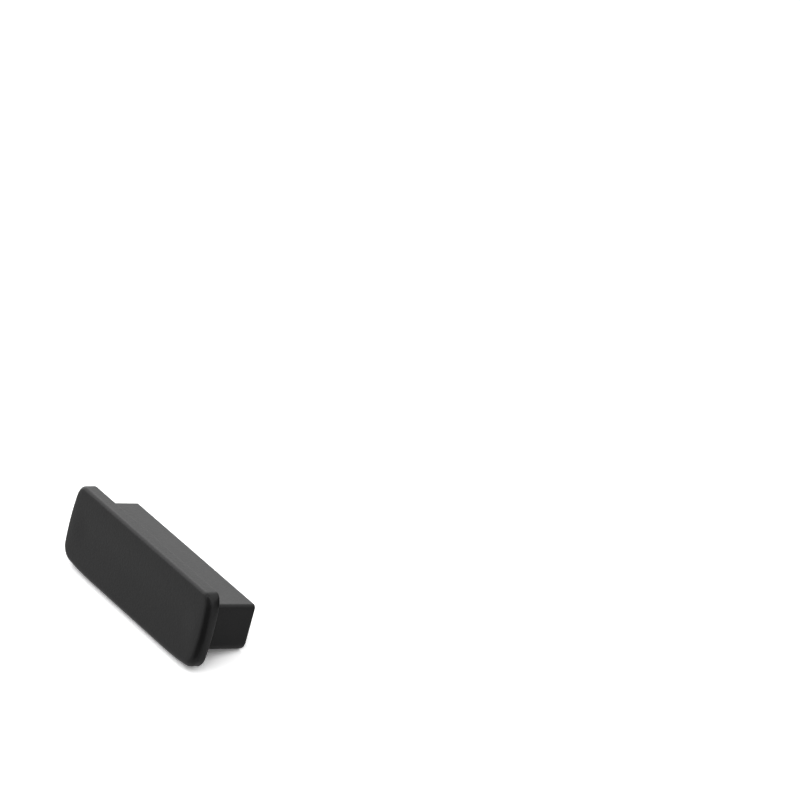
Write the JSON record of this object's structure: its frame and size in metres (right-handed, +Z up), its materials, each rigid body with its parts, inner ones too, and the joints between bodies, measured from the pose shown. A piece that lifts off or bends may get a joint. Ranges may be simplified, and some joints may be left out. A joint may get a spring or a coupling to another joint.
{
  "type": "profile end cap",
  "caption": "Rounded rectangular cover with a solid rectangular plug behind it, which closes the cut end of a plastic handrail profile.",
  "frame": {"origin": "on the surface that the cap rests on, below the centre of its bounding box", "axes": "+X across the cap along its width, +Z up. The cap leans back 17.4 degrees on the lower edges of its seat and its plug, so the cover faces -Y and a little up, and the plug points to +Y and a little down"},
  "size_m": [0.045, 0.0138, 0.0138],
  "materials": {
    "moulded_plastic": "black, satin, as moulded"
  },
  "bodies": {
    "root": {"end_cap": "moulded_plastic"}
  },
  "joints": []
}
